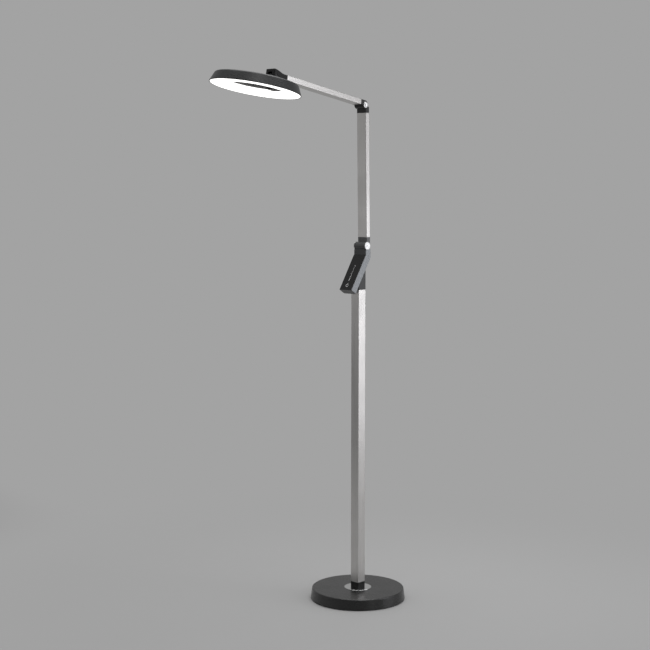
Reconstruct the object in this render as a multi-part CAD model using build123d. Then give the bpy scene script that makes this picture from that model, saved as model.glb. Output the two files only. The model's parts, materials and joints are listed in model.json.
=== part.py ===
from build123d import *
import os
from math import cos, radians, sin

# Ring-head reading floor lamp. Millimetres, +Z up, origin on the floor at the base's centre.
# -Y is the front: the control panel, the boom and the lamp head point that way.
# All three hinge axes run along X.

# ---- driving dimensions -------------------------------------------------------------------
# Base
BASE_R = 140.0            # radius at the foot of the side wall
BASE_TOP_R = 136.0        # radius at the top of the side wall
BASE_HEIGHT = 32.0        # top face above the floor
BASE_WALL = 1.6
FOOT_LIFT = 1.5           # gap between floor and side wall, left by the rubber pads
WEIGHT_R = 126.0
WEIGHT_THICK = 15.0
DISC_R = 40.0             # polished trim disc round the pole's foot
DISC_THICK = 1.2
# Lower pole: square aluminium tube
POLE_W = 30.0
POLE_WALL = 1.5
POLE_BOTTOM = 50.0
POLE_TOP = 920.0
SPIGOT_GAP = 0.2          # between a spigot and the tube that it sits in
# Arms: both use one flat aluminium tube
ARM_W = 35.0
ARM_T = 15.0
ARM_WALL = 1.5
ARM_SPIGOT = 34.0
UPPER_POLE_LENGTH = 358.0
BOOM_TUBE_LENGTH = 300.0
# Middle hinge
MID_Y = 14.0
MID_Z = 1047.0
MID_R = 11.2
MID_HALF = 23.2
MID_PIN_R = 4.0
MID_SETBACK = 2.2         # the upper pole's front face lies this far behind the hinge axis
UPPER_LEAN = 0.9          # degrees that the upper pole leans forward
UPPER_COLLAR_TOP = 25.0   # upper pole starts here, above the middle hinge axis
# Elbow hinge: on the upper pole's front plane and the boom's underside plane
ELBOW_RISE = 405.5        # elbow axis above the middle axis
ELBOW_R = 10.5
ELBOW_HALF = 18.8
ELBOW_CAP_R = 8.5
ELBOW_PIN_R = 3.0
BOOM_RISE = 10.0          # degrees above level
BOOM_START = 20.0         # boom tube starts this far from the elbow axis
BOOM_LOW = -2.2           # its underside, below the elbow axis
# Head hinge, in the boom's frame
TILT_S = 360.0
TILT_T = 2.6
TILT_R = 9.0
TILT_PIN_R = 2.5
LUG_HALF = 7.5
# Control box
BOX_HALF = 22.8
BOX_THICK = 23.5
BOX_TILT = 31.65          # degrees from vertical
BOX_FOOT_Y = -56.8        # lower edge of the front face
BOX_FOOT_Z = 921.8
BOX_SKIN = 1.2
PANEL_THICK = 2.2
PANEL_TOP = 116.0         # measured up the box's front face
NECK_FRONT = MID_Y - 9.4
NECK_BACK = MID_Y + 12.6
NECK_TOP = 1034.0
# Lamp head
HEAD_PITCH = 10.5         # degrees above level
HEAD_LEAN = 3.1           # degrees sideways, between the head and its pivot lug
HEAD_R = 125.0
HEAD_TOP_R = 113.5
HEAD_HEIGHT = 28.0
HEAD_SKIN = 1.6
PIVOT_BACK = 55.0         # tilt axis behind the head's centre
PIVOT_ABOVE = 49.0        # tilt axis above the rim plane
RECESS_R = 87.5
RECESS_DEPTH = 17.0
RECESS_SKIN = 0.9
# Fits
RUN_GAP = 0.05            # radial clearance of a pin that turns in its bore
FACE_GAP = 0.1            # between a friction washer and the part that turns on it
CABLE_R = 2.2

UP = radians(UPPER_LEAN)
RISE = radians(BOOM_RISE)
PITCH = radians(HEAD_PITCH)
TILT = radians(BOX_TILT)
ELBOW_Y = MID_Y + MID_SETBACK * cos(UP) - ELBOW_RISE * sin(UP)
ELBOW_Z = MID_Z + MID_SETBACK * sin(UP) + ELBOW_RISE * cos(UP)
TILT_Y = ELBOW_Y - TILT_S * cos(RISE) + TILT_T * sin(RISE)
TILT_Z = ELBOW_Z + TILT_S * sin(RISE) + TILT_T * cos(RISE)
HEAD_Y = TILT_Y - PIVOT_BACK * cos(PITCH) - PIVOT_ABOVE * sin(PITCH)
HEAD_Z = TILT_Z + PIVOT_BACK * sin(PITCH) - PIVOT_ABOVE * cos(PITCH)


# ---- helpers ------------------------------------------------------------------------------
def block(x0, x1, y0, y1, z0, z1):
    """Box between two corners."""
    return Pos((x0 + x1) / 2, (y0 + y1) / 2, (z0 + z1) / 2) * Box(x1 - x0, y1 - y0, z1 - z0)


def rod(radius, x0, x1, y=0.0, z=0.0):
    """Cylinder along X."""
    return Pos((x0 + x1) / 2, y, z) * Rot(Y=90) * Cylinder(radius, x1 - x0)


def post(radius, z0, z1, x=0.0, y=0.0):
    """Cylinder along Z."""
    return Pos(x, y, (z0 + z1) / 2) * Cylinder(radius, z1 - z0)


def slab(points, x0, x1):
    """Polygon of (y, z) points, extruded along X from x0 to x1."""
    face = Plane.YZ.offset(x0) * make_face(Polyline(*points, close=True))
    return extrude(face, amount=x1 - x0)


def spun(points):
    """Polygon of (radius, z) points, turned about Z."""
    return revolve(Plane.XZ * make_face(Polyline(*points, close=True)), Axis.Z)


def group(shapes, place=lambda shape: shape):
    """Separate solids in one node, each moved by place."""
    return Compound(children=[place(shape) for shape in shapes])


def both_sides(shape):
    """A shape and its mirror image across the lamp's middle plane, as two solids."""
    return group([shape, mirror(shape, about=Plane.YZ)])


def tube(width, depth, wall, z0, z1, corner):
    """Rectangular tube along Z, centred on the Z axis."""
    outer = RectangleRounded(width, depth, corner)
    inner = RectangleRounded(width - 2 * wall, depth - 2 * wall, max(corner - wall, 0.4))
    return Pos(0, 0, z0) * extrude(outer - inner, amount=z1 - z0)


def bar(width, depth, z0, z1, corner):
    """Solid rectangular bar along Z with rounded long edges."""
    return Pos(0, 0, z0) * extrude(RectangleRounded(width, depth, corner), amount=z1 - z0)


def pan_screw(head_r, head_h, shank_r, length):
    """Screw along -Z: head above z = 0 with a cross recess, shank below."""
    head = fillet(post(head_r, 0, head_h).edges().sort_by(Axis.Z)[-1], head_h * 0.45)
    slot = block(-head_r * 0.6, head_r * 0.6, -0.35, 0.35, head_h - 0.7, head_h + 1)
    return head + post(shank_r, -length, 0) - slot - Rot(Z=90) * slot


def in_upper_arm(shape):
    """From the upper arm's frame (origin on the middle axis, pole along +Z) to the lamp's."""
    return Pos(0, MID_Y, MID_Z) * Rot(X=UPPER_LEAN) * shape


def in_boom(shape):
    """From the boom's frame (origin on the elbow axis, boom along -Y) to the lamp's."""
    return Pos(0, ELBOW_Y, ELBOW_Z) * Rot(X=-BOOM_RISE) * shape


def in_pitch(shape):
    """From the head's frame (origin at the rim plane's centre, front along -Y) to the lamp's."""
    return Pos(0, HEAD_Y, HEAD_Z) * Rot(X=-HEAD_PITCH) * shape


def in_head(shape):
    """From the head's own frame, which leans sideways about the middle of its pivot's foot."""
    hub = Pos(0, PIVOT_BACK, HEAD_HEIGHT)
    return in_pitch(hub * Rot(Y=HEAD_LEAN) * Pos(0, -PIVOT_BACK, -HEAD_HEIGHT) * shape)


def in_box(shape):
    """From the control box's frame to the lamp's.

    Its origin is the front face's lower edge, +Z runs up the face and -Y is the face's normal.
    """
    return Pos(0, BOX_FOOT_Y, BOX_FOOT_Z) * Rot(X=-BOX_TILT) * shape


# ---- base ---------------------------------------------------------------------------------
BOLT_R = 4.0
LEAD_Y = 10.2             # the lead passes up beside the bolt


def lead_way(z0, z1):
    """Holes for the pole's bolt and for the lead beside it."""
    return post(BOLT_R + 0.3, z0, z1) + post(CABLE_R + 0.4, z0, z1, y=LEAD_Y)


PAD_R = 9.0
PAD_RING = 110.0
SCREW_RING = BASE_R - 9.0
COVER_TOP = BASE_HEIGHT - BASE_WALL
PLATE_TOP = FOOT_LIFT + 1.5
WEIGHT_TOP = COVER_TOP - 0.5
BOLT_SEAT = WEIGHT_TOP - WEIGHT_THICK + 3
INLET_Z = 12.5


def base_cover():
    outer = spun([(0, FOOT_LIFT), (BASE_R, FOOT_LIFT), (BASE_TOP_R, BASE_HEIGHT), (0, BASE_HEIGHT)])
    outer = fillet(outer.edges().filter_by(GeomType.CIRCLE).sort_by(Axis.Z)[-1], 3.0)
    inner = spun([(0, 0), (BASE_R - BASE_WALL, 0), (BASE_TOP_R - BASE_WALL, COVER_TOP), (0, COVER_TOP)])
    cover = outer - inner
    for i in range(4):
        cover += Rot(Z=45 + 90 * i) * post(4.5, BOLT_SEAT - 8, COVER_TOP, x=SCREW_RING)
    cover -= lead_way(20, 40) + Rot(X=-90) * Pos(0, -INLET_Z, BASE_R - 4) * Cylinder(5.6, 16)
    for i in range(4):
        cover -= Rot(Z=45 + 90 * i) * post(1.5, 0, COVER_TOP - 2, x=SCREW_RING)
    return cover


def base_weight():
    """Cast-iron disc with a keyhole for the lead and a clearance at the inlet."""
    disc = post(WEIGHT_R, WEIGHT_TOP - WEIGHT_THICK, WEIGHT_TOP)
    disc = chamfer(disc.edges().filter_by(GeomType.CIRCLE), 1.0)
    recess = WEIGHT_TOP - WEIGHT_THICK + 5
    disc -= lead_way(0, 40) + post(14.0, 0, recess) + block(-4, 4, 12, WEIGHT_R + 5, 0, recess)
    return disc - block(-9, 9, WEIGHT_R - 16, WEIGHT_R + 5, 0, 40)


def base_plate():
    """Steel closing plate under the base."""
    plate = post(BASE_R - 3.2, FOOT_LIFT, PLATE_TOP)
    for i in range(4):
        plate -= Rot(Z=45 + 90 * i) * post(1.8, 0, 5, x=SCREW_RING)
    return plate


def base_pads():
    """Rubber pads that touch the floor: five round the edge and one in the middle."""
    ring = [Rot(Z=72 * i + 18) * post(PAD_R, 0, FOOT_LIFT, x=PAD_RING) for i in range(5)]
    return group(ring + [post(PAD_R, 0, FOOT_LIFT)])


def base_screws():
    screw = Rot(X=180) * pan_screw(3.0, 1.2, 1.45, 8)
    return group(Rot(Z=45 + 90 * i) * Pos(SCREW_RING, 0, FOOT_LIFT) * screw for i in range(4))


def foot_disc():
    disc = post(DISC_R, BASE_HEIGHT, BASE_HEIGHT + DISC_THICK)
    disc = fillet(disc.edges().filter_by(GeomType.CIRCLE).sort_by(Axis.Z)[-1], 0.6)
    return disc - lead_way(20, 40)


def pole_socket():
    """Square socket: a visible collar and a spigot inside the lower pole."""
    foot = BASE_HEIGHT + DISC_THICK
    inside = POLE_W - 2 * POLE_WALL - 2 * SPIGOT_GAP
    socket = bar(POLE_W, POLE_W, foot, POLE_BOTTOM, 1.6)
    socket += bar(inside, inside, POLE_BOTTOM, POLE_BOTTOM + 45, 1.0)
    groove = block(-CABLE_R - 0.3, CABLE_R + 0.3, LEAD_Y, POLE_W, POLE_BOTTOM + 1, 130)
    return socket - post(BOLT_R + 0.02, 0, 130) - post(CABLE_R + 0.3, 0, 130, y=LEAD_Y) - groove


def pole_bolt():
    """M8 hexagon bolt up through the weight into the socket."""
    head = Pos(0, 0, BOLT_SEAT - 5.3) * extrude(RegularPolygon(7.5, 6), amount=5.3)
    return head + post(BOLT_R, BOLT_SEAT, 78)


def pole_washer():
    return post(7.9, BOLT_SEAT, BOLT_SEAT + 2) - post(BOLT_R + 0.2, 0, 40)


def dc_inlet():
    """Low-voltage barrel socket at the back of the base."""
    y0 = BASE_R - 22
    along = Rot(X=-90)
    body = along * Pos(0, -INLET_Z, y0 + 11) * Cylinder(5.4, 22)
    flange = along * Pos(0, -INLET_Z, BASE_R + 0.4) * Cylinder(7.0, 1.6)
    mouth = along * Pos(0, -INLET_Z, BASE_R - 4) * Cylinder(2.9, 14)
    pin = along * Pos(0, -INLET_Z, BASE_R - 7) * Cylinder(1.0, 10)
    return body + flange - mouth + pin


def inlet_nut():
    ring = Rot(X=-90) * Pos(0, -INLET_Z, BASE_R - 7.8) * extrude(RegularPolygon(7.0, 6), amount=3)
    return ring - Rot(X=-90) * Pos(0, -INLET_Z, BASE_R - 5) * Cylinder(5.5, 12)


# ---- lower pole, middle hinge casting and control box --------------------------------------
def lower_pole():
    pole = tube(POLE_W, POLE_W, POLE_WALL, POLE_BOTTOM, POLE_TOP, 1.6)
    for z in (POLE_TOP - 22, POLE_BOTTOM + 22):
        pole -= Pos(0, POLE_W / 2, z) * Rot(X=90) * Cylinder(2.1, 6)
    return pole


def box_outline(inset_front, inset_back):
    """Side outline of box and neck as (y, z), with its front and back faces moved inwards."""
    slope = sin(TILT) / cos(TILT)
    nx, nz = cos(TILT), -sin(TILT)
    front_y, front_z = BOX_FOOT_Y + inset_front * nx, BOX_FOOT_Z + inset_front * nz
    depth = BOX_THICK - inset_back
    back_y, back_z = BOX_FOOT_Y + depth * nx, BOX_FOOT_Z + depth * nz
    neck_front, neck_back = NECK_FRONT + inset_front, NECK_BACK - inset_back
    return [(neck_front, MID_Z - 10.0), (neck_front, front_z + (neck_front - front_y) / slope),
            (front_y, front_z), (back_y, back_z),
            (neck_back, back_z + (neck_back - back_y) / slope), (neck_back, MID_Z - 10.0)]


SLEEVE_TOP = 1003.0
CAST_BOTTOM = 986.0       # the casting fills the box above this height


def hinge_casting():
    """Zinc casting: spigot, sleeve, neck and the middle hinge's two ears."""
    inside = POLE_W - 2 * POLE_WALL - 2 * SPIGOT_GAP
    cast = bar(inside, inside, POLE_TOP - 45, POLE_TOP, 1.0)
    cast += bar(POLE_W, POLE_W, POLE_TOP, SLEEVE_TOP, 1.6)
    half = BOX_HALF - BOX_SKIN - 0.2
    neck = slab(box_outline(0.0, BOX_SKIN + 0.2), -half, half)
    neck &= block(-30, 30, -60, 60, CAST_BOTTOM, NECK_TOP)
    electronics_space = in_box(block(-30, 30, -30, 7.0, -10, PANEL_TOP + 0.5))
    cast = cast + neck - electronics_space
    cast += block(-17.9, 17.9, NECK_FRONT, NECK_BACK - BOX_SKIN - 0.2, NECK_TOP - 1, MID_Z - 7.6)
    cast -= rod(MID_R + 0.2, -17.9, 17.9, MID_Y, MID_Z)
    ear = rod(MID_R, 17.9, 20.4, MID_Y, MID_Z)
    ear += block(17.9, 20.4, NECK_FRONT, MID_Y + MID_R, NECK_TOP - 1, MID_Z)
    cast += ear + mirror(ear, about=Plane.YZ)
    cast -= rod(MID_PIN_R + RUN_GAP, -30, 30, MID_Y, MID_Z)
    cast -= post(5.0, POLE_TOP - 60, 1012) + block(-5, 5, -20, 5, 958, 1006)
    return cast - Pos(0, POLE_W / 2, POLE_TOP - 22) * Rot(X=90) * Cylinder(1.7, 12)


def control_housing():
    """Silver shell with two cheeks and a back; the sleeve comes in through the back."""
    shell = slab(box_outline(PANEL_THICK, 0.0), -BOX_HALF, BOX_HALF)
    half = BOX_HALF - BOX_SKIN
    shell -= slab(box_outline(-5.0, BOX_SKIN), -half, half)
    shell -= bar(POLE_W + 0.6, POLE_W + 0.6, 880, SLEEVE_TOP + 0.3, 1.8)
    shell -= rod(MID_R + 0.3, -40, 40, MID_Y, MID_Z)
    shell -= in_box(block(-30, 30, -5, 40, -5, 2.2))
    for x, z in screw_spots():
        shell -= in_box(Pos(x, BOX_THICK, z) * Rot(X=90) * Cylinder(1.3, 8))
    # The front edge is only as high as the panel; the neck's front is the casting's own.
    shell -= block(-half, half, -60, NECK_FRONT + PANEL_THICK, 1000, 1060)
    return shell


def screw_spots():
    return [(x, z) for x in (-17.5, 17.5) for z in (14.0, 40.0)]


def touch_panel():
    """Glossy front panel over the whole width of the box."""
    panel = block(-BOX_HALF, BOX_HALF, 0, PANEL_THICK, 0, PANEL_TOP)
    panel = fillet(panel.edges().filter_by(Axis.Z).sort_by(Axis.Y)[:2], 0.8)
    return in_box(panel)


def touch_marks():
    """Printed marks: a power ring, a dash and a long slider line with two end dots."""
    y0, y1 = -0.12, 0.0
    ring = Rot(X=90) * (Cylinder(4.8, y1 - y0) - Cylinder(3.2, 2))
    marks = [Pos(0, (y0 + y1) / 2, 15.0) * (ring - block(-1.1, 1.1, -2, 2, 0.5, 6)),
             block(-0.6, 0.6, y0, y1, 16.6, 21.2),
             block(-1.3, 1.3, y0, y1, 30.0, 39.0),
             block(-0.6, 0.6, y0, y1, 46.0, 76.0)]
    for z in (43.0, 80.0):
        marks.append(Pos(0, (y0 + y1) / 2, z) * Rot(X=90) * Cylinder(2.0, y1 - y0))
    return group(marks, in_box)


def control_end_cap():
    half = BOX_HALF
    cap = block(-half, half, PANEL_THICK, BOX_THICK, 0, 2.0)
    cap = fillet(cap.edges().filter_by(Axis.Z).sort_by(Axis.Y)[-2:], 1.5)
    rib = block(-half + 2.2, half - 2.2, PANEL_THICK + 2.0, BOX_THICK - BOX_SKIN - 1.0, 2.0, 5.0)
    return in_box(cap + rib)


def control_board():
    """Dimmer board behind the panel."""
    return in_box(block(-18, 18, PANEL_THICK + 0.6, PANEL_THICK + 2.2, 8, 96))


def board_parts():
    """Components on the dimmer board's back: choke, capacitors, switch transistor, controller, plug."""
    y0 = PANEL_THICK + 2.2
    parts = [block(-12, 0, y0, y0 + 6, 14, 26), block(-7, 7, y0, y0 + 1.2, 48, 60),
             block(2, 9, y0, y0 + 4.5, 30, 38), block(-13, -3, y0, y0 + 2.4, 64, 74)]
    for x in (6.0, 14.0):
        parts.append(Pos(x, y0 + 5, 20) * Rot(X=90) * Cylinder(3.1, 10))
    return group(parts, in_box)


def housing_screws():
    screw = Rot(X=-90) * pan_screw(2.3, 1.1, 1.2, 6)
    return group([Pos(x, BOX_THICK, z) * screw for x, z in screw_spots()], in_box)


# ---- hinge hardware -----------------------------------------------------------------------
DISH_R = 30.0
DISH_DEPTH = 0.25


def cap_disc(radius, x0, x1, pocket_r, pocket_h):
    """Round cover with a rolled edge, a dished face and a pocket for the pin's head or nut."""
    cap = rod(radius, x0, x1)
    cap = fillet(cap.edges().filter_by(GeomType.CIRCLE).sort_by(Axis.X)[-1], 0.9)
    dish = Pos(x1 + DISH_R - DISH_DEPTH, 0, 0) * Sphere(DISH_R)
    return cap - rod(pocket_r, x0 - 1, x0 + pocket_h) - dish


def mid_caps():
    return both_sides(Pos(0, MID_Y, MID_Z) * cap_disc(MID_R, 20.4, MID_HALF, 7.6, 2.0))


def mid_axle():
    """Steel pin with a low head on the right."""
    pin = rod(MID_PIN_R, -22.2, 20.4) + rod(7.0, 20.4, 22.2)
    return Pos(0, MID_Y, MID_Z) * pin


def mid_nut():
    nut = Pos(-22.2, 0, 0) * Rot(Y=90) * extrude(RegularPolygon(7.0, 6), amount=1.8)
    return Pos(0, MID_Y, MID_Z) * (nut - rod(MID_PIN_R, -30, 0))


def mid_washers():
    ring = rod(MID_R - 0.6, 17.4 + FACE_GAP, 17.9) - rod(MID_PIN_R + RUN_GAP, 0, 30)
    return both_sides(Pos(0, MID_Y, MID_Z) * ring)


def elbow_caps():
    return both_sides(in_boom(cap_disc(ELBOW_CAP_R, 17.3, ELBOW_HALF, 5.2, 0.95)))


def elbow_axle():
    return in_boom(rod(ELBOW_PIN_R, -18.2, 17.3) + rod(4.8, 17.3, 18.2))


def elbow_nut():
    nut = Pos(-18.2, 0, 0) * Rot(Y=90) * extrude(RegularPolygon(4.9, 6), amount=0.9)
    return in_boom(nut - rod(ELBOW_PIN_R, -30, 0))


def elbow_washers():
    ring = rod(ELBOW_R - 0.6, 7.8 + FACE_GAP, 8.3) - rod(ELBOW_PIN_R + RUN_GAP, 0, 30)
    return both_sides(in_boom(ring))


def tilt_axle():
    return in_boom(Pos(0, -TILT_S, TILT_T) * (rod(TILT_PIN_R, -16.0, 15.0) + rod(4.2, 15.0, 16.6)))


def tilt_washers():
    ring = rod(TILT_R - 0.6, LUG_HALF + FACE_GAP, LUG_HALF + 0.4) - rod(TILT_PIN_R + RUN_GAP, 0, 30)
    return both_sides(in_boom(Pos(0, -TILT_S, TILT_T) * ring))


# ---- upper arm ----------------------------------------------------------------------------
ARM_MID_Y = MID_SETBACK + ARM_T / 2       # arm centre behind the middle axis
UPPER_TOP = UPPER_COLLAR_TOP + UPPER_POLE_LENGTH


def arm_spigot(z0, z1):
    inside = 2 * (ARM_WALL + SPIGOT_GAP)
    return Pos(0, ARM_MID_Y, 0) * bar(ARM_W - inside, ARM_T - inside, z0, z1, 0.8)


def mid_knuckle():
    """Centre knuckle of the middle hinge, with the collar under the upper pole."""
    knuckle = rod(MID_R - 0.2, -17.4, 17.4)
    collar = Pos(0, ARM_MID_Y, 0) * bar(ARM_W - 0.2, ARM_T, 2.0, UPPER_COLLAR_TOP, 1.4)
    part = knuckle + collar + arm_spigot(UPPER_COLLAR_TOP, UPPER_COLLAR_TOP + ARM_SPIGOT)
    part -= rod(MID_PIN_R + RUN_GAP, -30, 30)
    part -= Pos(0, ARM_MID_Y, 0) * post(3.0, 8, 80)
    part -= Pos(0, ARM_MID_Y + 4, UPPER_COLLAR_TOP + 18) * Rot(X=90) * Cylinder(1.7, 9)
    return in_upper_arm(part)


def upper_pole():
    pole = Pos(0, ARM_MID_Y, 0) * tube(ARM_W, ARM_T, ARM_WALL, UPPER_COLLAR_TOP, UPPER_TOP, 1.4)
    for z in (UPPER_COLLAR_TOP + 18, UPPER_TOP - 18):
        pole -= Pos(0, MID_SETBACK + ARM_T, z) * Rot(X=90) * Cylinder(2.1, 5)
    return in_upper_arm(pole)


def elbow_yoke():
    """Collar on the upper pole with the elbow's centre tongue."""
    axis_y, axis_z = MID_SETBACK, ELBOW_RISE
    collar = Pos(0, ARM_MID_Y, 0) * bar(ARM_W, ARM_T, UPPER_TOP, axis_z - 4.5, 1.4)
    collar = fillet(collar.edges().filter_by(Axis.X).group_by(Axis.Z)[-1].sort_by(Axis.Y)[-1], 2.5)
    collar -= rod(ELBOW_R + 0.3, -30, 30, axis_y, axis_z)
    collar -= block(-30, 30, axis_y - 5, axis_y + 1.0, axis_z - 10.7, axis_z)
    tongue = rod(ELBOW_R, -7.8, 7.8, axis_y, axis_z)
    tongue += block(-7.8, 7.8, axis_y, axis_y + ELBOW_R, axis_z - 12, axis_z)
    part = collar + tongue + arm_spigot(UPPER_TOP - ARM_SPIGOT, UPPER_TOP)
    part -= rod(ELBOW_PIN_R + RUN_GAP, -30, 30, axis_y, axis_z)
    part -= Pos(0, ARM_MID_Y, 0) * post(3.0, UPPER_TOP - 40, axis_z - 9)
    part -= Pos(0, ARM_MID_Y + 4, UPPER_TOP - 18) * Rot(X=90) * Cylinder(1.7, 9)
    return in_upper_arm(part)


def upper_screws():
    """Two screws that fix the collars' spigots to the upper pole."""
    screw = Rot(X=-90) * pan_screw(2.9, 1.2, 1.65, 5)
    spots = (UPPER_COLLAR_TOP + 18, UPPER_TOP - 18)
    return group([Pos(0, MID_SETBACK + ARM_T, z) * screw for z in spots], in_upper_arm)


# ---- boom ---------------------------------------------------------------------------------
BOOM_END = BOOM_START + BOOM_TUBE_LENGTH
BOOM_TOP = BOOM_LOW + ARM_T


def along_boom(shape):
    """Turn a shape made along +Z so that it runs along the boom, on its centre line."""
    return Pos(0, 0, BOOM_LOW + ARM_T / 2) * Rot(X=90) * shape


def boom_spigot(s0, s1):
    inside = 2 * (ARM_WALL + SPIGOT_GAP)
    return along_boom(bar(ARM_W - inside, ARM_T - inside, s0, s1, 0.8))


def elbow_fork():
    """Fitting at the boom's rear end: two lugs either side of the yoke's tongue."""
    body = block(-ARM_W / 2, ARM_W / 2, -BOOM_START, 6.0, BOOM_LOW, BOOM_TOP)
    body = fillet(body.edges().filter_by(Axis.X).group_by(Axis.Y)[-1].sort_by(Axis.Z)[-1], 8.0)
    body = fillet(body.edges().filter_by(Axis.Y), 1.2)
    lug = rod(ELBOW_R, 8.3, 17.3)
    part = body + lug + mirror(lug, about=Plane.YZ)
    part += boom_spigot(BOOM_START, BOOM_START + ARM_SPIGOT)
    part -= block(-8.3, 8.3, -ELBOW_R - 0.8, 30, -20, 30)
    part -= rod(ELBOW_PIN_R + RUN_GAP, -30, 30)
    part -= both_sides(rod(ELBOW_CAP_R + 0.1, 17.3, 30))
    part -= along_boom(post(3.0, 8, 80))
    part -= Pos(0, -BOOM_START - 18, BOOM_TOP - 3) * Cylinder(1.7, 8)
    return in_boom(part)


def boom_tube():
    part = along_boom(tube(ARM_W, ARM_T, ARM_WALL, BOOM_START, BOOM_END, 1.4))
    for s in (BOOM_START + 18, BOOM_END - 18):
        part -= Pos(0, -s, BOOM_TOP) * Cylinder(2.1, 5)
    return in_boom(part)


def bracket_outline():
    """Side outline: flush with the boom, then humped, with a steep nose and deep ears."""
    top = BOOM_TOP + 0.2
    flush = (-BOOM_END - 12, top)
    hump = [(-BOOM_END - 25, top + 2.6), (-BOOM_END - 37, top + 6.0), (-BOOM_END - 45, top + 7.4)]
    brow = (-TILT_S - 10.0, top + 7.4)
    chin = (-TILT_S - 11.0, TILT_T - 10)
    edges = Line((-BOOM_END, BOOM_LOW), (-BOOM_END, top)) + Line((-BOOM_END, top), flush)
    edges += Spline(flush, *hump, brow, tangents=((-1, 0), (-1, -0.15)))
    edges += Polyline(brow, chin, (-TILT_S - 5.0, TILT_T - 17.5), (-TILT_S + 8.0, TILT_T - 17.5),
                      (-TILT_S + 26.0, -6.0), (-TILT_S + 36.0, BOOM_LOW), (-BOOM_END, BOOM_LOW))
    outline = make_face(edges)
    outline = fillet(outline.vertices().sort_by_distance(brow)[0], 1.8)
    return fillet(outline.vertices().sort_by_distance(chin)[0], 3.0)


def head_bracket():
    """Humped fitting at the boom's front end with two ears for the head's lug."""
    gap = LUG_HALF + 0.4
    front = -TILT_S - 20
    part = extrude(Plane.YZ.offset(-ARM_W / 2) * bracket_outline(), amount=ARM_W)
    crest = [edge for edge in part.edges() if edge.center().Z > BOOM_TOP + 1.5 and abs(edge.center().X) > 17]
    part = fillet(crest, 2.5)
    part += boom_spigot(BOOM_END - ARM_SPIGOT, BOOM_END)
    part -= block(-gap, gap, front, -TILT_S + 10.5, -30, TILT_T + TILT_R + 0.4)
    part -= block(-gap, gap, front, -TILT_S + 34, -30, -6.5)
    part -= Pos(0, -TILT_S, TILT_T) * rod(TILT_PIN_R + RUN_GAP, -16.0, 15.0)
    part -= Pos(0, -TILT_S, TILT_T) * rod(4.4, 15.0, 30.0)
    part -= along_boom(post(3.0, BOOM_END - 50, TILT_S - 9))
    part -= Pos(0, -BOOM_END + 18, BOOM_TOP - 3) * Cylinder(1.7, 8)
    return in_boom(part)


def boom_screws():
    screw = pan_screw(2.9, 1.2, 1.65, 5)
    spots = (BOOM_START + 18, BOOM_END - 18)
    return group([Pos(0, -s, BOOM_TOP) * screw for s in spots], in_boom)


# ---- lamp head ----------------------------------------------------------------------------
CEILING = HEAD_HEIGHT - HEAD_SKIN
TRAY_TOP = 23.2
TRAY_THICK = 1.1
BOARD_THICK = 1.6
TRAY_SCREW_R = 72.0
LED_RINGS = ((96.5, 42), (105.0, 42))


def head_cover():
    """Shallow tapered drum, open below, with bosses for the tray."""
    outer = spun([(0, 0), (HEAD_R, 0), (HEAD_R, 2.0), (HEAD_TOP_R, HEAD_HEIGHT), (0, HEAD_HEIGHT)])
    outer = fillet(outer.edges().filter_by(GeomType.CIRCLE).sort_by(Axis.Z)[-1], 6.0)
    r0, r1 = HEAD_R - HEAD_SKIN, HEAD_TOP_R - HEAD_SKIN
    inner = spun([(0, -1), (r0, -1), (r0, 1.8), (r1, CEILING), (0, CEILING)])
    inner = fillet(inner.edges().filter_by(GeomType.CIRCLE).sort_by(Axis.Z)[-1], 4.6)
    cover = outer - inner
    for i in range(6):
        boss = post(3.6, TRAY_TOP, CEILING + 0.5, x=TRAY_SCREW_R) - post(1.2, 0, CEILING, x=TRAY_SCREW_R)
        cover += Rot(Z=60 * i) * boss
    for x, y in pivot_spots():
        cover -= post(1.7, 20, 40, x=x, y=y)
    return in_head(cover - post(3.0, 20, 40, y=PIVOT_BACK))


def pivot_spots():
    return [(x, PIVOT_BACK + y) for x in (-4.0, 4.0) for y in (-12.0, 14.0)]


def head_pivot():
    """Narrow foot on the head's top with the hinge lug; it stays between the bracket's ears."""
    foot = Pos(0, PIVOT_BACK + 1, HEAD_HEIGHT) * extrude(RectangleRounded(15, 40, 4), amount=3.4)
    foot = fillet(foot.edges().group_by(Axis.Z)[-1], 1.2)
    for x, y in pivot_spots():
        foot -= post(1.25, 20, HEAD_HEIGHT + 2.4, x=x, y=y)
    lug = Pos(0, PIVOT_BACK, PIVOT_ABOVE) * rod(TILT_R - 0.4, -LUG_HALF, LUG_HALF)
    lug += block(-LUG_HALF, LUG_HALF, PIVOT_BACK - 6.5, PIVOT_BACK + 6.5, HEAD_HEIGHT + 1.5, PIVOT_ABOVE)
    for x, y in pivot_spots():
        lug -= post(1.25, 20, HEAD_HEIGHT + 2.4, x=x, y=y)
    bore = Pos(0, PIVOT_BACK, PIVOT_ABOVE) * rod(TILT_PIN_R + RUN_GAP, -30, 30)
    way = in_head(post(2.0, 20, PIVOT_ABOVE - 4, y=PIVOT_BACK))
    return in_head(foot) + in_pitch(lug - bore) - way


def pivot_backplate():
    plate = Pos(0, PIVOT_BACK + 2, CEILING - 1.6) * extrude(RectangleRounded(30, 34, 3), amount=1.6)
    for x, y in pivot_spots():
        plate -= post(1.7, 20, 40, x=x, y=y)
    return in_head(plate - post(3.0, 20, 40, y=PIVOT_BACK))


def pivot_screws():
    screw = Rot(X=180) * pan_screw(2.6, 1.4, 1.2, 5)
    return group([Pos(x, y, CEILING - 1.6) * screw for x, y in pivot_spots()], in_head)


def led_tray():
    """Aluminium heat-spreading disc."""
    tray = post(HEAD_TOP_R - 3.0, TRAY_TOP - TRAY_THICK, TRAY_TOP)
    for i in range(6):
        tray -= Rot(Z=60 * i) * post(1.7, 0, 40, x=TRAY_SCREW_R)
    return in_head(tray - post(4.0, 0, 40, y=PIVOT_BACK))


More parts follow.
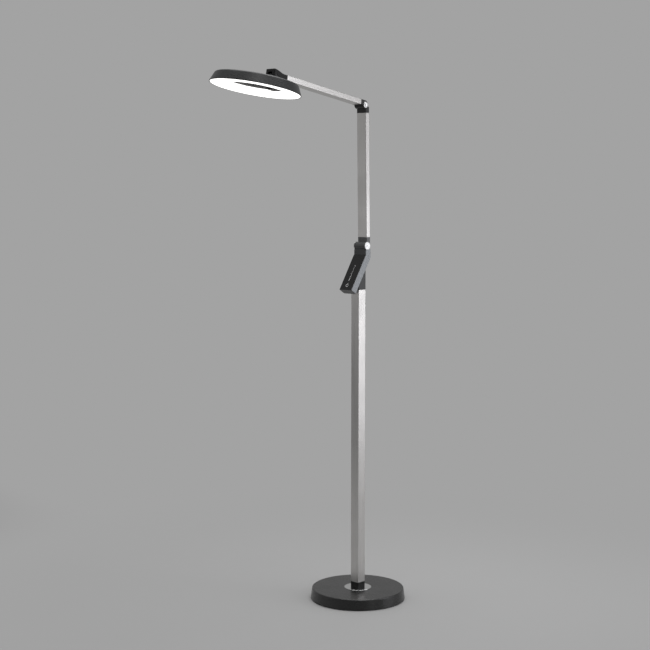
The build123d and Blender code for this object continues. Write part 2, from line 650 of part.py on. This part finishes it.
def tray_screws():
    screw = Rot(X=180) * pan_screw(2.6, 1.1, 1.15, 4)
    screws = [Rot(Z=60 * i) * Pos(TRAY_SCREW_R, 0, TRAY_TOP - TRAY_THICK) * screw for i in range(6)]
    return group(screws, in_head)


def led_board():
    top = TRAY_TOP - TRAY_THICK
    return in_head(post(109.0, top - BOARD_THICK, top) - post(92.5, 0, 40))


def led_chips():
    """Two rings of surface-mounted LEDs."""
    top = TRAY_TOP - TRAY_THICK - BOARD_THICK
    chips = []
    for radius, count in LED_RINGS:
        chip = block(radius - 1.4, radius + 1.4, -1.75, 1.75, top - 0.7, top)
        chips += [Rot(Z=360 * i / count) * chip for i in range(count)]
    return group(chips, in_head)


def diffuser():
    """Opal ring: a flat annulus and the wall round the central recess."""
    outer = HEAD_R - HEAD_SKIN - 0.8
    ring = spun([(RECESS_R, 0.5), (outer, 0.5), (outer, 2.5), (RECESS_R + 2, 2.5),
                 (RECESS_R + 2, RECESS_DEPTH + RECESS_SKIN), (RECESS_R, RECESS_DEPTH + RECESS_SKIN)])
    return in_head(ring)


def recess_cover():
    """Dark ceiling of the central recess."""
    return in_head(post(RECESS_R - 0.3, RECESS_DEPTH, RECESS_DEPTH + RECESS_SKIN))


def wire_cover():
    """Small moulded cover at the back of the recess, where the lead comes in."""
    cover = block(-19, 19, 56, 82, RECESS_DEPTH - 4.0, RECESS_DEPTH)
    return in_head(fillet(cover.edges().filter_by(Axis.Z), 3.0))


def terminal_block():
    """Connector between the arm's lead and the LED board."""
    return in_head(block(-10, 10, -16, -6, TRAY_TOP, TRAY_TOP + 2.8))


# ---- wiring inside the tubes ---------------------------------------------------------------
def lead(points, radii):
    """Round cable through (y, z) points in the lamp's middle plane."""
    path = FilletPolyline(*[(0, y, z) for y, z in points], radius=radii)
    section = Plane(origin=path @ 0, z_dir=path % 0) * Circle(CABLE_R)
    return sweep(section, path=path)


def stand_lead():
    """From the inlet along the base, then up inside the lower pole to the dimmer board."""
    low = INLET_Z - 0.2
    points = [(BASE_R - 24, low), (LEAD_Y, low), (LEAD_Y, 110), (0.5, 150), (0.5, 940)]
    return lead(points, [5.0, 60, 60])


def upper_lead():
    run = Pos(0, ARM_MID_Y, 0) * post(CABLE_R, 14, ELBOW_RISE - 16)
    return in_upper_arm(run)


def boom_lead():
    return in_boom(along_boom(post(CABLE_R, 14, TILT_S - 12)))


# ---- write every sub-part ------------------------------------------------------------------
NODES = [
    base_cover, base_weight, base_plate, base_pads, base_screws, foot_disc, pole_socket, pole_bolt,
    pole_washer, dc_inlet, inlet_nut, lower_pole, hinge_casting, control_housing, touch_panel,
    touch_marks, control_end_cap, control_board, board_parts, housing_screws, mid_caps, mid_axle,
    mid_nut, mid_washers, stand_lead,
    mid_knuckle, upper_pole, elbow_yoke, upper_screws, upper_lead,
    elbow_fork, elbow_axle, elbow_nut, elbow_caps, elbow_washers, boom_tube, boom_screws, boom_lead,
    head_bracket, tilt_axle, tilt_washers,
    head_pivot, pivot_backplate, pivot_screws, head_cover, led_tray, tray_screws, led_board,
    led_chips, diffuser, recess_cover, wire_cover, terminal_block,
]

os.makedirs("parts", exist_ok=True)
for build in NODES:
    export_step(build(), f"parts/{build.__name__}.step")
print(f"middle hinge axis at y {MID_Y:.2f}, z {MID_Z:.2f}")
print(f"elbow axis at y {ELBOW_Y:.2f}, z {ELBOW_Z:.2f}")
print(f"tilt axis at y {TILT_Y:.2f}, z {TILT_Z:.2f}")
print(f"rim plane's centre at y {HEAD_Y:.2f}, z {HEAD_Z:.2f}")
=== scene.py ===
import json
from math import atan2, cos, pi, radians, sin

import bpy
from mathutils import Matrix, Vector


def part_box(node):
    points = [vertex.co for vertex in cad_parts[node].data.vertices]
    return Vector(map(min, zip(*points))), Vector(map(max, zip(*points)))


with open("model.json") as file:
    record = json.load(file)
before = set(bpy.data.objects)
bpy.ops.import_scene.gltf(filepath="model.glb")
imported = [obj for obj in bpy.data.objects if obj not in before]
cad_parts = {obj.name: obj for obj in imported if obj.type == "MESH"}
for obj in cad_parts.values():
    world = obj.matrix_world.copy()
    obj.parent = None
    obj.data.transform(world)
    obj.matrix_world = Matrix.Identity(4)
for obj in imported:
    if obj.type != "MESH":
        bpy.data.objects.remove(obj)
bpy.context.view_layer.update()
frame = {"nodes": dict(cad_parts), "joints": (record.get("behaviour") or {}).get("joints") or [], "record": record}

scene = bpy.context.scene
nodes = frame["nodes"]
joints = {j["name"]: j for j in frame["joints"]}


# ---- node helpers ---------------------------------------------------------------------------
class Nodes:
    """A material under construction, with short calls for the nodes used below."""

    def __init__(self, name):
        self.mat = bpy.data.materials.new(name)
        self.mat.use_nodes = True
        self.tree = self.mat.node_tree
        self.bsdf = self.tree.nodes["Principled BSDF"]

    def add(self, kind, inputs=None, **settings):
        node = self.tree.nodes.new(kind)
        for key, value in settings.items():
            setattr(node, key, value)
        for key, value in (inputs or {}).items():
            if isinstance(value, bpy.types.NodeSocket):
                self.tree.links.new(value, node.inputs[key])
            else:
                node.inputs[key].default_value = value
        return node

    def set(self, **values):
        """Set the shader's own sockets, or link them: underscores stand for spaces."""
        for key, value in values.items():
            socket = self.bsdf.inputs[key.replace("_", " ")]
            if isinstance(value, bpy.types.NodeSocket):
                self.tree.links.new(value, socket)
            else:
                socket.default_value = value

    def place(self, scale=(1, 1, 1), rotation=(0, 0, 0), location=(0, 0, 0)):
        """Object coordinates in metres, turned and scaled."""
        coords = self.add("ShaderNodeTexCoord")
        mapping = self.add("ShaderNodeMapping", {"Vector": coords.outputs["Object"]})
        mapping.inputs["Location"].default_value = location
        mapping.inputs["Rotation"].default_value = rotation
        mapping.inputs["Scale"].default_value = scale
        return mapping.outputs["Vector"]

    def noise(self, vector, scale, detail=3.0, rough=0.5):
        node = self.add("ShaderNodeTexNoise", {"Vector": vector, "Scale": scale, "Detail": detail,
                                               "Roughness": rough})
        return node.outputs["Fac"]

    def remap(self, value, low, high, start=0.0, end=1.0):
        node = self.add("ShaderNodeMapRange", {"Value": value, "From Min": start, "From Max": end,
                                               "To Min": low, "To Max": high})
        return node.outputs["Result"]

    def mix(self, factor, a, b):
        node = self.add("ShaderNodeMix", data_type="RGBA")
        for key, value in ((0, factor), (6, a), (7, b)):
            if isinstance(value, bpy.types.NodeSocket):
                self.tree.links.new(value, node.inputs[key])
            else:
                node.inputs[key].default_value = value if key == 0 else (*value, 1.0)
        return node.outputs[2]

    def math(self, operation, a, b=0.0):
        return self.add("ShaderNodeMath", {0: a, 1: b}, operation=operation).outputs[0]

    def distance(self, vector, first, second):
        """How far a point is from the origin, measured along two of the axes."""
        split = self.add("ShaderNodeSeparateXYZ", {"Vector": vector})
        squares = [self.math("POWER", split.outputs[axis], 2.0) for axis in (first, second)]
        return self.math("SQRT", self.math("ADD", *squares))

    def smooth(self, value, start, end):
        """Ease from 0 to 1 between start and end."""
        node = self.add("ShaderNodeMapRange", {"Value": value, "From Min": start, "From Max": end},
                        interpolation_type="SMOOTHSTEP")
        return node.outputs["Result"]

    def bevelled(self, radius):
        """Normal with softened edges, as any real part has."""
        return self.add("ShaderNodeBevel", {"Radius": radius}, samples=6).outputs["Normal"]

    def bump(self, height, distance, strength=1.0, normal=None):
        inputs = {"Height": height, "Distance": distance, "Strength": strength}
        if normal is not None:
            inputs["Normal"] = normal
        return self.add("ShaderNodeBump", inputs).outputs["Normal"]


def grey(value, tint=0.0):
    """A near-neutral colour; a positive tint leans to blue."""
    return (value * (1 - tint), value, value * (1 + tint))


# ---- materials ------------------------------------------------------------------------------
def drawn_aluminium(name, lean_degrees, level, along_y=False):
    """Satin anodised extrusion: fine lines along its length, soft blotches, tiny dust marks."""
    n = Nodes(name)
    turned = n.place(rotation=(radians(lean_degrees), 0, 0))
    length_first = (900, 9, 900) if along_y else (900, 900, 9)
    lines = n.add("ShaderNodeMapping", {"Vector": turned})
    lines.inputs["Scale"].default_value = length_first
    fine = n.noise(lines.outputs["Vector"], 1.0, detail=4.0, rough=0.6)
    cloud = n.noise(turned, 14.0, detail=3.0)
    dust = n.noise(turned, 900.0, detail=2.0)
    dull, bright = (grey(level * k, -0.02) for k in (0.92, 1.08))
    base = n.mix(n.remap(fine, 0.0, 1.0, 0.3, 0.7), dull, bright)
    base = n.mix(n.remap(cloud, 0.0, 0.25, 0.35, 0.7), base, grey(level * 0.82, -0.02))
    base = n.mix(n.remap(dust, 0.0, 0.5, 0.68, 0.78), base, grey(level * 0.7))
    rough = n.math("ADD", n.remap(fine, 0.26, 0.38, 0.3, 0.7), n.remap(cloud, -0.02, 0.04, 0.3, 0.7))
    normal = n.bump(fine, 0.00003, 0.35, n.bevelled(0.0008))
    n.set(Base_Color=base, Metallic=1.0, Roughness=rough, Normal=normal)
    return n.mat


RING_PITCH = 0.00045       # between two tool marks on a turned cap


def turned_metal(name, colour, rough, centre, bevel=0.0006):
    """Lathe-turned cap: rings round the hinge axis, which runs along X."""
    n = Nodes(name)
    local = n.place(location=(0, -centre[1], -centre[2]))
    rings = n.math("SINE", n.math("MULTIPLY", n.distance(local, "Y", "Z"), 2 * pi / RING_PITCH))
    speck = n.noise(local, 1500.0, detail=2.0)
    base = n.mix(n.remap(speck, 0.0, 1.0, 0.35, 0.75), colour, tuple(c * 0.86 for c in colour))
    normal = n.bump(n.math("ADD", rings, speck), 0.000012, 0.4, n.bevelled(bevel))
    n.set(Base_Color=base, Metallic=1.0, Roughness=n.remap(rings, rough - 0.03, rough + 0.05, -1, 1),
          Normal=normal)
    return n.mat


def painted(name, low, high, rough, grain, depth, bevel=0.0008, metallic=0.0, scuff=0.0, coat=0.0,
            specular=0.5):
    """Powder coat, plate or moulded plastic, with faint scuffs.

    Its colour goes from low to high. Its grain is so many per metre, and depth metres high.
    """
    n = Nodes(name)
    where = n.place()
    fine = n.noise(where, grain, detail=3.0, rough=0.6)
    broad = n.noise(where, 22.0, detail=4.0)
    base = n.mix(n.remap(fine, 0.0, 1.0, 0.32, 0.68), low, high)
    base = n.mix(n.remap(broad, 0.0, 0.35, 0.4, 0.7), base, high)
    marks = n.noise(n.place(scale=(60, 60, 420), rotation=(0.5, 0.3, 0.2)), 1.0, detail=5.0)
    roughness = n.math("ADD", n.remap(fine, rough - 0.05, rough + 0.06, 0.3, 0.7),
                       n.remap(marks, 0.0, -scuff, 0.56, 0.7))
    roughness = n.math("ADD", roughness, n.remap(broad, -0.03, 0.04, 0.3, 0.7))
    n.set(Base_Color=base, Metallic=metallic, Roughness=roughness, Specular_IOR_Level=specular,
          Normal=n.bump(fine, depth, 0.5, n.bevelled(bevel)))
    if coat:
        n.set(Coat_Weight=coat, Coat_Roughness=0.12)
    return n.mat


LED_RING = 0.101           # radius midway between the two rings of LEDs


def opal_material():
    """Opal acrylic lit by two rings of LEDs: brightest over the rings, softer at its edges."""
    n = Nodes("opal_diffuser_lit")
    x, y, z = HEAD_CENTRE
    along = cos(HEAD_PITCH)
    across = sin(HEAD_PITCH)
    local = n.place(location=(-x, z * across - y * along, -y * across - z * along),
                    rotation=(HEAD_PITCH, 0, 0))
    off_ring = n.math("ABSOLUTE", n.math("SUBTRACT", n.distance(local, "X", "Y"), LED_RING))
    glow = n.remap(off_ring, 1.0, 0.86, 0.0, 0.022)
    haze = n.noise(local, 60.0, detail=2.0)
    colour = n.mix(n.remap(haze, 0.0, 0.3, 0.3, 0.7), (1.0, 0.995, 0.975), (1.0, 0.985, 0.95))
    n.set(Base_Color=n.mix(n.remap(haze, 0.0, 1.0, 0.3, 0.7), grey(0.86), grey(0.9)), Roughness=0.42,
          Emission_Color=colour, Emission_Strength=n.math("MULTIPLY", glow, 1.75),
          Normal=n.bump(n.noise(local, 1800.0, detail=1.0), 0.00002, 0.3))
    return n.mat


def circuit_material():
    """Green solder mask over a pattern of tracks."""
    n = Nodes("circuit_board_mask")
    where = n.place()
    tracks = n.add("ShaderNodeTexBrick", {"Vector": where, "Scale": 220.0, "Mortar Size": 0.03,
                                          "Color1": (0.01, 0.08, 0.03, 1), "Color2": (0.012, 0.1, 0.04, 1),
                                          "Mortar": (0.03, 0.2, 0.08, 1)})
    n.set(Base_Color=tracks.outputs["Color"], Roughness=n.remap(n.noise(where, 300.0), 0.3, 0.45),
          Normal=n.bump(tracks.outputs["Fac"], 0.00003, 0.4, n.bevelled(0.0002)))
    return n.mat


def hinge_point(name):
    return joints[name]["pos_m"]


# The flat disc that closes the recess gives the head's centre and, closely enough for the glow, its tilt.
low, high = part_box("recess_cover")
HEAD_CENTRE = (low + high) / 2
HEAD_PITCH = atan2(high.z - low.z, high.y - low.y)

MATERIALS = {
    "base_black": painted("base_satin_black", grey(0.007), grey(0.012), 0.26, 2600, 0.00003, 0.0012,
                          scuff=0.06, specular=0.62),
    "cast_iron": painted("cast_iron_rough", grey(0.10), grey(0.17), 0.62, 500, 0.0002, 0.001, metallic=0.6),
    "plated_steel": painted("zinc_plate", grey(0.5), grey(0.62), 0.30, 700, 0.00002, 0.0003, metallic=1.0),
    "rubber": painted("rubber_pad", grey(0.012), grey(0.03), 0.75, 1200, 0.0001, 0.0006),
    "polished_disc": painted("polished_disc", grey(0.66), grey(0.74), 0.16, 300, 0.000006, 0.0006,
                             metallic=1.0),
    "black_plastic": painted("black_moulding", grey(0.008), grey(0.018), 0.48, 2200, 0.00004, 0.0007),
    "hinge_black": painted("hinge_matte_black", grey(0.010, 0.02), grey(0.020, 0.02), 0.44, 1900, 0.00005,
                           0.0009, scuff=0.05),
    "silver_grey_paint": painted("silver_grey_paint", grey(0.28, 0.05), grey(0.35, 0.05), 0.40, 1700, 0.00003,
                                 0.0008, metallic=0.35),
    "panel_gloss": painted("gloss_panel", grey(0.0035), grey(0.006), 0.22, 900, 0.000004, 0.0009,
                           coat=0.15, specular=0.4),
    "mark_print": painted("screen_print", grey(0.42), grey(0.54), 0.5, 1500, 0.00001, 0.0001),
    "grey_plastic": painted("grey_moulding", grey(0.10), grey(0.13), 0.5, 1500, 0.00005, 0.0006),
    "electronics": painted("component_bodies", grey(0.06), grey(0.5), 0.4, 90, 0.00002, 0.0002),
    "plain_aluminium": painted("plain_aluminium", grey(0.52), grey(0.62), 0.35, 400, 0.00002, 0.0004,
                               metallic=1.0),
    "head_charcoal": painted("head_charcoal", grey(0.016, 0.06), grey(0.023, 0.06), 0.36, 2400, 0.00006,
                             0.001, scuff=0.04, specular=0.42),
    "lead_pvc": painted("lead_sleeve", grey(0.015), grey(0.03), 0.5, 900, 0.00002, 0.0002),
    "circuit_board": circuit_material(),
    "opal_diffuser": opal_material(),
}

# Pieces whose own finish differs from their slot's.
OWN = {
    "lower_pole": drawn_aluminium("anodised_lower_pole", 0.0, 0.63),
    "upper_pole": drawn_aluminium("anodised_upper_pole", -0.9, 0.64),
    "boom_tube": drawn_aluminium("anodised_boom", 10.0, 0.64, along_y=True),
    "mid_caps": turned_metal("turned_mid_caps", grey(0.74), 0.3, hinge_point("mid_hinge")),
    "elbow_caps": turned_metal("turned_elbow_caps", grey(0.86), 0.3, hinge_point("elbow_hinge")),
    "mid_knuckle": painted("knuckle_charcoal", grey(0.044, 0.03), grey(0.060, 0.03), 0.30, 1900, 0.00005,
                           0.0009, scuff=0.05, specular=0.85),
    "hinge_casting": painted("casting_charcoal", grey(0.046, 0.03), grey(0.060, 0.03), 0.42, 1900, 0.00005,
                             0.0009, scuff=0.05),
    "pole_socket": painted("socket_black", grey(0.005), grey(0.010), 0.55, 2200, 0.00004, 0.0007,
                           specular=0.3),
    "head_bracket": painted("bracket_black", grey(0.006), grey(0.011), 0.5, 1900, 0.00005, 0.0009,
                            scuff=0.05, specular=0.3),
    "recess_cover": painted("recess_matt_black", grey(0.010), grey(0.016), 0.85, 1500, 0.00005, 0.0003),
    "wire_cover": painted("wire_cover_black", grey(0.008), grey(0.014), 0.8, 1500, 0.00005, 0.0006),
}


def dress(name, material):
    """Give a CAD piece its material."""
    mesh = nodes[name].data
    if not mesh.materials:
        mesh.materials.append(material)
    for index in range(len(mesh.materials)):
        mesh.materials[index] = material


for entry in frame["record"]["subparts"]:
    own = OWN.get(entry["node"])
    dress(entry["node"], own or MATERIALS[entry["material_slot"]])


# ---- stage: floor, light, camera -------------------------------------------------------------
BACKDROP = 0.366          # the backdrop's level, which the floor fades into


FLOOR_HALF = 20.0          # half the floor's width
SHADE_TOWARD = (-0.68, -0.73, 0)
DARK_TOWARD = (0.68, -0.73, 0.0)
DARK_END = 0.12            # the surroundings' level at their dark end


def floor_shade(n, where, radius):
    """A darker zone on the main view's left, which shades what the poles' front faces reflect."""
    dot = n.add("ShaderNodeVectorMath", {0: where, 1: SHADE_TOWARD}, operation="DOT_PRODUCT")
    toward = n.math("DIVIDE", dot.outputs["Value"], radius)
    return n.math("MULTIPLY", n.smooth(toward, 0.6, 0.95), n.smooth(radius, 1.2, 2.6))


def pale_floor():
    """Matt floor that fades into the backdrop with distance, like a studio sweep."""
    mesh = bpy.data.meshes.new("studio_floor")
    corners = [(x * FLOOR_HALF, y * FLOOR_HALF, 0) for x, y in ((-1, -1), (1, -1), (1, 1), (-1, 1))]
    mesh.from_pydata(corners, [], [(0, 1, 2, 3)])
    floor = bpy.data.objects.new("studio_floor", mesh)
    scene.collection.objects.link(floor)
    n = Nodes("pale_floor")
    where = n.place()
    n.set(Base_Color=n.mix(n.noise(where, 3.0), grey(0.42), grey(0.43)), Roughness=0.8,
          Specular_IOR_Level=0.1, Normal=n.bump(n.noise(where, 500.0), 0.0002, 0.1))
    radius = n.distance(where, "X", "Y")
    level = n.remap(floor_shade(n, where, radius), BACKDROP, 0.4 * BACKDROP)
    sweep = n.add("ShaderNodeEmission", {"Color": level})
    blend = n.add("ShaderNodeMixShader", {0: n.smooth(radius, 0.3, 1.5), 1: n.bsdf.outputs[0],
                                          2: sweep.outputs[0]})
    n.tree.links.new(blend.outputs[0], n.tree.nodes["Material Output"].inputs["Surface"])
    mesh.materials.append(n.mat)


def softbox(name, place, aim, size, radiance, colour=(1.0, 1.0, 1.0)):
    """Soft rectangular light, given by how bright its face is."""
    data = bpy.data.lights.new(name, "AREA")
    data.shape = "RECTANGLE"
    data.size, data.size_y = size
    data.energy = radiance * pi * size[0] * size[1]
    data.color = colour
    light = bpy.data.objects.new(name, data)
    light.location = place
    light.rotation_mode = "QUATERNION"
    light.rotation_quaternion = (Vector(aim) - Vector(place)).to_track_quat("-Z", "Y")
    light.visible_camera = False
    scene.collection.objects.link(light)


def backdrop_world():
    """Even grey round the lamp, darker behind the main camera."""
    world = bpy.data.worlds.new("studio_world")
    world.use_nodes = True
    tree = world.node_tree
    coords = tree.nodes.new("ShaderNodeTexCoord")
    dot = tree.nodes.new("ShaderNodeVectorMath")
    dot.operation = "DOT_PRODUCT"
    dot.inputs[1].default_value = DARK_TOWARD
    dark = tree.nodes.new("ShaderNodeMapRange")
    dark.interpolation_type = "SMOOTHSTEP"
    for key, value in (("From Min", 0.1), ("From Max", 0.95), ("To Min", BACKDROP), ("To Max", DARK_END)):
        dark.inputs[key].default_value = value
    tree.links.new(coords.outputs["Generated"], dot.inputs[0])
    tree.links.new(dot.outputs["Value"], dark.inputs["Value"])
    tree.links.new(dark.outputs["Result"], tree.nodes["Background"].inputs["Color"])
    scene.world = world


def studio():
    """Surroundings, five soft lights and a plain colour transform."""
    backdrop_world()
    cool = (0.985, 0.99, 1.03)
    softbox("softbox_right_rear", (2.9, 1.9, 0.5), (0, 0, 0.5), (1.9, 1.5), 2.15, cool)
    softbox("softbox_left_front", (-3.0, -3.2, 0.85), (0, 0, 0.85), (2.2, 0.6), 0.38)
    softbox("softbox_right_high", (2.7, 1.5, 1.95), (0, -0.3, 1.5), (0.9, 0.9), 3.15, cool)
    softbox("softbox_top", (0.0, 0.3, 3.6), (0, 0, 0.6), (3.0, 3.0), 3.0)
    softbox("strip_right", (3.4, -0.73, 1.1), (0, 0, 0.8), (0.5, 2.0), 1.5)
    scene.view_settings.view_transform = "Standard"
    scene.view_settings.look = "None"


CAMERA_PLACE = (2.8377, -3.0706, 1.2418)
CAMERA_DOWN = 5.82         # degrees below level
CAMERA_TURN = 44.08        # degrees from the lamp's front


def camera():
    """The main camera, in front and to the lamp's left side."""
    data = bpy.data.cameras.new("main_camera")
    data.sensor_width = 36.0
    data.lens = 79.6
    cam = bpy.data.objects.new("main_camera", data)
    cam.location = CAMERA_PLACE
    cam.rotation_euler = (radians(90 - CAMERA_DOWN), 0, radians(CAMERA_TURN))
    data.clip_start, data.clip_end = 0.1, 60
    scene.collection.objects.link(cam)
    scene.camera = cam


pale_floor()
studio()
camera()
